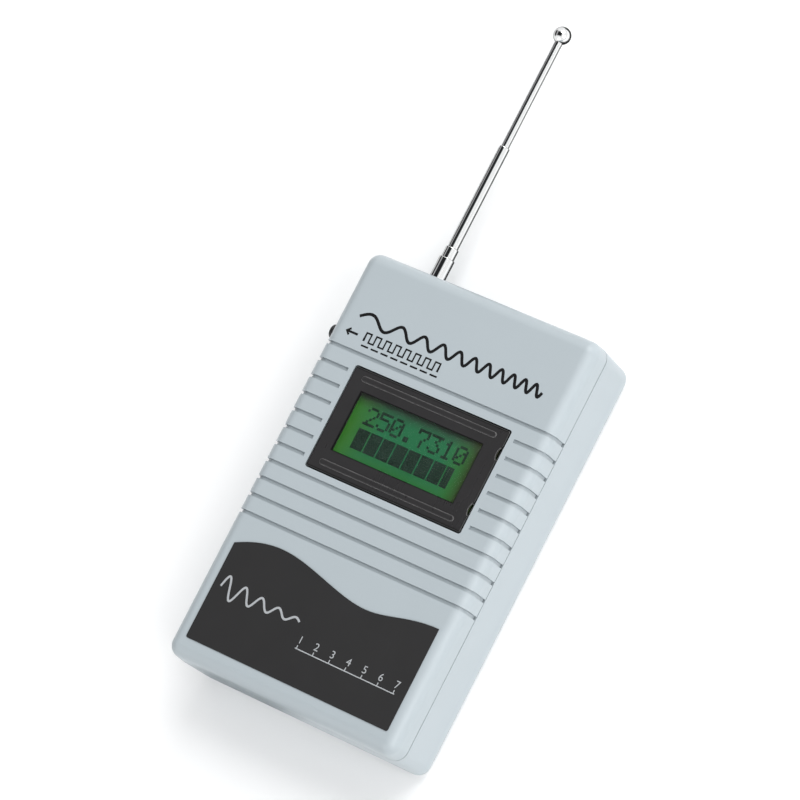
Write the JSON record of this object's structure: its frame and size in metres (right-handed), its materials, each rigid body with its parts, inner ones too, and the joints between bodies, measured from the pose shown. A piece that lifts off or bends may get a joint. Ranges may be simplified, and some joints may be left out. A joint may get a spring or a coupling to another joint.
{
  "type": "handheld frequency counter",
  "caption": "Pocket frequency counter: grooved two-shell plastic case, lit liquid-crystal display, side push button and telescopic whip aerial.",
  "frame": {"origin": "middle of the flat back face, which the counter rests on", "axes": "+Z out of the display face, +Y towards the aerial, +X to the display's right"},
  "size_m": [0.0701, 0.182, 0.0248],
  "materials": {
    "case_plastic": "moulded ABS, smooth semi-gloss",
    "label_sheet": "matte printed polyester",
    "blackened_steel": "blackened pressed steel",
    "screw_steel": "zinc plated",
    "display_glass": "polished",
    "light_guide": "milky diffuser",
    "elastomer": "matte",
    "circuit_board": "solder mask",
    "chip_black": "moulded epoxy",
    "black_plastic": "moulded",
    "plated_metal": "tin plated",
    "capacitor_body": "shrink sleeve",
    "trimmer_plastic": "moulded",
    "brass": "turned",
    "chrome": "polished chrome plate",
    "battery_jacket": "lacquered metal jacket",
    "foam": "open-cell foam",
    "red_wire": "PVC insulation",
    "black_wire": "PVC insulation"
  },
  "bodies": {
    "case": {"front_shell": "case_plastic", "rear_shell": "case_plastic", "front_label": "label_sheet", "lcd_bezel": "blackened_steel", "case_screws": "screw_steel", "lcd_screws": "screw_steel", "board_screws": "screw_steel", "aerial_screws": "screw_steel", "lcd_front_glass": "display_glass", "lcd_rear_glass": "display_glass", "lcd_light_guide": "light_guide", "lcd_backlight_leds": "light_guide", "lcd_zebra_strips": "elastomer", "lcd_board": "circuit_board", "main_board": "circuit_board", "lcd_drivers": "chip_black", "microcontroller": "chip_black", "prescaler_chip": "chip_black", "amplifier_chips": "chip_black", "voltage_regulator": "chip_black", "chip_resistors": "chip_black", "header_strip": "chip_black", "switch_base": "chip_black", "snap_cover": "black_plastic", "header_pins": "plated_metal", "crystal": "plated_metal", "switch_cover": "plated_metal", "switch_dome": "plated_metal", "battery_terminals": "plated_metal", "snap_contacts": "plated_metal", "aerial_bracket": "plated_metal", "electrolytic_capacitors": "capacitor_body", "chip_capacitors": "capacitor_body", "trimmer_body": "trimmer_plastic", "aerial_base_plug": "brass", "aerial_section_1": "chrome", "battery_jacket": "battery_jacket", "foam_pad": "foam", "red_battery_wire": "red_wire", "black_battery_wire": "black_wire"},
    "battery_door": {"battery_door": "case_plastic"},
    "push_button": {"push_button": "black_plastic"},
    "trimmer_rotor": {"trimmer_rotor": "brass"},
    "aerial_2": {"aerial_section_2": "chrome", "aerial_sleeve_2": "brass"},
    "aerial_3": {"aerial_section_3": "chrome", "aerial_sleeve_3": "brass"},
    "aerial_rod": {"aerial_rod": "chrome", "aerial_sleeve_4": "brass", "aerial_tip": "chrome"}
  },
  "joints": [
    {"name": "aerial_slide_2", "type": "slide", "parent": "case", "child": "aerial_2", "axis": [0, 1, 0], "range_m": [-0.0025, 0.034]},
    {"name": "aerial_slide_3", "type": "slide", "parent": "aerial_2", "child": "aerial_3", "axis": [0, 1, 0], "range_m": [-0.0278, 0.009]},
    {"name": "aerial_slide_rod", "type": "slide", "parent": "aerial_3", "child": "aerial_rod", "axis": [0, 1, 0], "range_m": [-0.0279, 0.009]},
    {"name": "button_press", "type": "slide", "parent": "case", "child": "push_button", "axis": [1, 0, 0], "range_m": [0, 0.0003], "stiffness_N_per_m": 3000, "springref_m": -0.0003},
    {"name": "battery_door_hinge", "type": "hinge", "parent": "case", "child": "battery_door", "pos_m": [0, -0.02565, 0.001], "axis": [1, 0, 0], "range_deg": [0, 30]},
    {"name": "trimmer_turn", "type": "hinge", "parent": "case", "child": "trimmer_rotor", "pos_m": [0.011, 0.03585, 0.0138], "axis": [0, 0, 1], "continuous": true}
  ]
}
